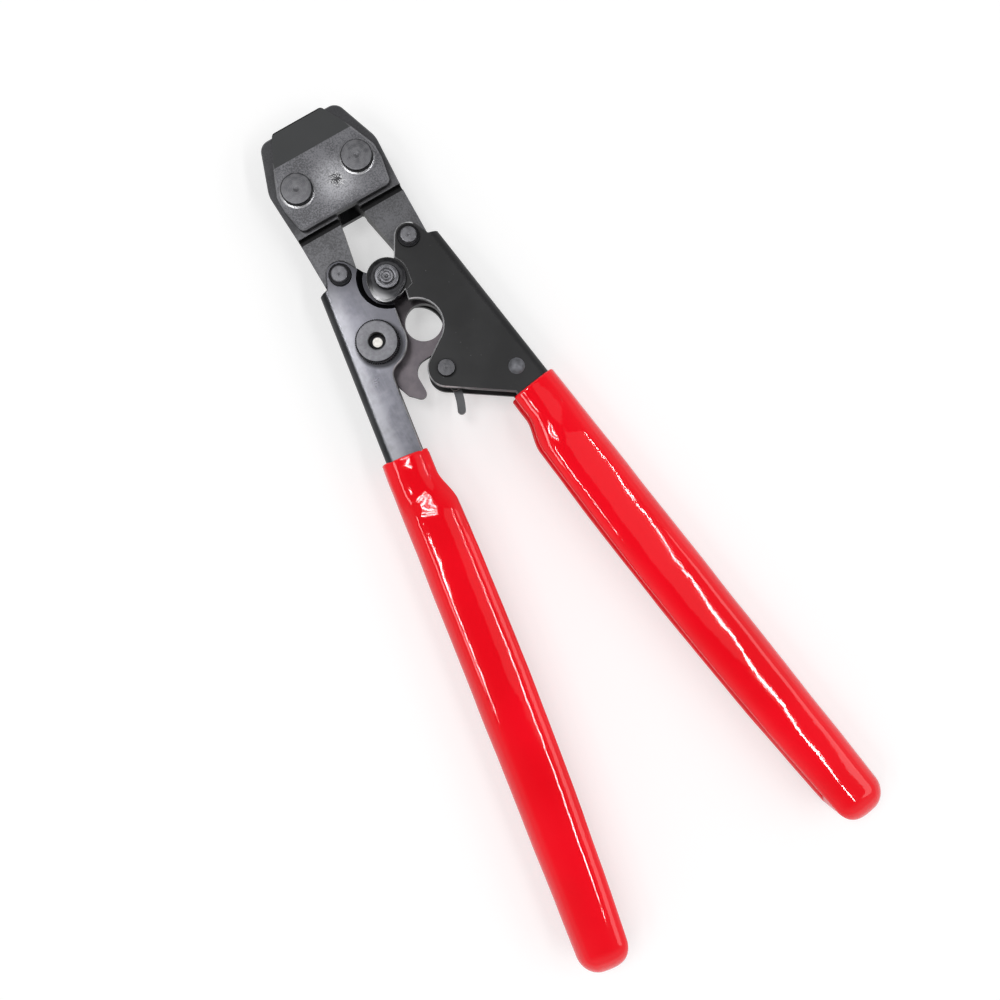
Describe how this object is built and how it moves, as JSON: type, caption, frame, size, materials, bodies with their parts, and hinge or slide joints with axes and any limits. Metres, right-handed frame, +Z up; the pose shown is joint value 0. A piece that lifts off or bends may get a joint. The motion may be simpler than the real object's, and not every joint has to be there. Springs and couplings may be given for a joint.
{
  "type": "cinch clamp tool",
  "caption": "Hand-powered compound-lever cinch clamp tool: short jaws between head plates, ratchet sector with release pawl, adjuster dial and dipped-grip channel handles.",
  "frame": {"origin": "on the main pivot's axis, in the plane of the flat rivet heads on the back, which the tool lies on", "axes": "+X to the right handle, +Y along the tool from the grips to the jaws, +Z up, out of the front with the dial"},
  "size_m": [0.1166, 0.2952, 0.026],
  "materials": {
    "jaw_steel": "black phosphate, satin",
    "rivet_steel": "black oxide, satin",
    "left_handle_steel": "gunmetal, semi-gloss",
    "right_handle_steel": "black, matte",
    "grip_vinyl": "dipped vinyl, glossy",
    "pivot_steel": "gunmetal, semi-gloss",
    "sector_steel": "stamped, blued",
    "dial_steel": "satin",
    "bright_steel": "bright"
  },
  "bodies": {
    "handle_left": {"left_handle": "left_handle_steel", "left_grip": "grip_vinyl", "left_arm_pin": "rivet_steel"},
    "handle_right": {"right_handle": "right_handle_steel", "right_grip": "grip_vinyl", "right_arm_pin": "rivet_steel", "main_pivot_rivet": "pivot_steel", "front_pivot_washer": "pivot_steel", "back_pivot_washer": "pivot_steel", "front_pivot_spacer": "pivot_steel", "back_pivot_spacer": "pivot_steel", "pawl_pin": "rivet_steel", "front_pawl_spacer": "pivot_steel", "back_pawl_spacer": "pivot_steel", "spring_anchor_rivet": "bright_steel", "pawl_spring": "rivet_steel"},
    "jaw_left": {"left_jaw": "jaw_steel"},
    "jaw_right": {"right_jaw": "jaw_steel"},
    "head": {"front_head_plate": "jaw_steel", "back_head_plate": "jaw_steel", "left_head_rivet": "rivet_steel", "right_head_rivet": "rivet_steel"},
    "sector": {"ratchet_sector": "sector_steel"},
    "adjuster": {"adjuster_dial": "dial_steel", "adjuster_screw": "bright_steel", "adjuster_washer": "bright_steel"},
    "pawl": {"ratchet_pawl": "sector_steel"}
  },
  "joints": [
    {"name": "handle_pivot", "type": "hinge", "parent": "handle_left", "child": "handle_right", "pos_m": [0, 0, 0.013], "axis": [0, 0, 1], "range_deg": [-7, 35]},
    {"name": "left_jaw_pivot", "type": "hinge", "parent": "handle_left", "child": "jaw_left", "pos_m": [-0.0129, 0.0084, 0.013], "axis": [0, 0, 1], "range_deg": [-4.7, 23.3]},
    {"name": "right_jaw_pivot", "type": "hinge", "parent": "handle_right", "child": "jaw_right", "pos_m": [0.0129, 0.0084, 0.013], "axis": [0, 0, 1], "range_deg": [-23.3, 4.7]},
    {"name": "head_pivot", "type": "hinge", "parent": "jaw_left", "child": "head", "pos_m": [-0.0112, 0.0389, 0.013], "axis": [0, 0, 1], "range_deg": [-5.8, 1.2]},
    {"name": "adjuster_turn", "type": "hinge", "parent": "handle_left", "child": "adjuster", "pos_m": [-0.0133, -0.0167, 0.013], "axis": [0, 0, 1], "range_deg": [-60, 60]},
    {"name": "sector_shift", "type": "hinge", "parent": "handle_left", "child": "sector", "pos_m": [0, 0, 0.013], "axis": [0, 0, 1], "range_deg": [-0.98, 0.98]},
    {"name": "pawl_pivot", "type": "hinge", "parent": "handle_right", "child": "pawl", "pos_m": [0.002, -0.0352, 0.013], "axis": [0, 0, -1], "range_deg": [0, 15], "stiffness_Nm_per_rad": 0.02, "springref_deg": -17.19, "deforming": ["pawl_spring"]}
  ],
  "couplings": [
    {"joint": "left_jaw_pivot", "follows": "handle_pivot", "ratio": 0.662},
    {"joint": "right_jaw_pivot", "follows": "handle_pivot", "ratio": -0.662},
    {"joint": "head_pivot", "follows": "handle_pivot", "ratio": -0.162},
    {"joint": "sector_shift", "follows": "adjuster_turn", "ratio": 0.01596}
  ]
}
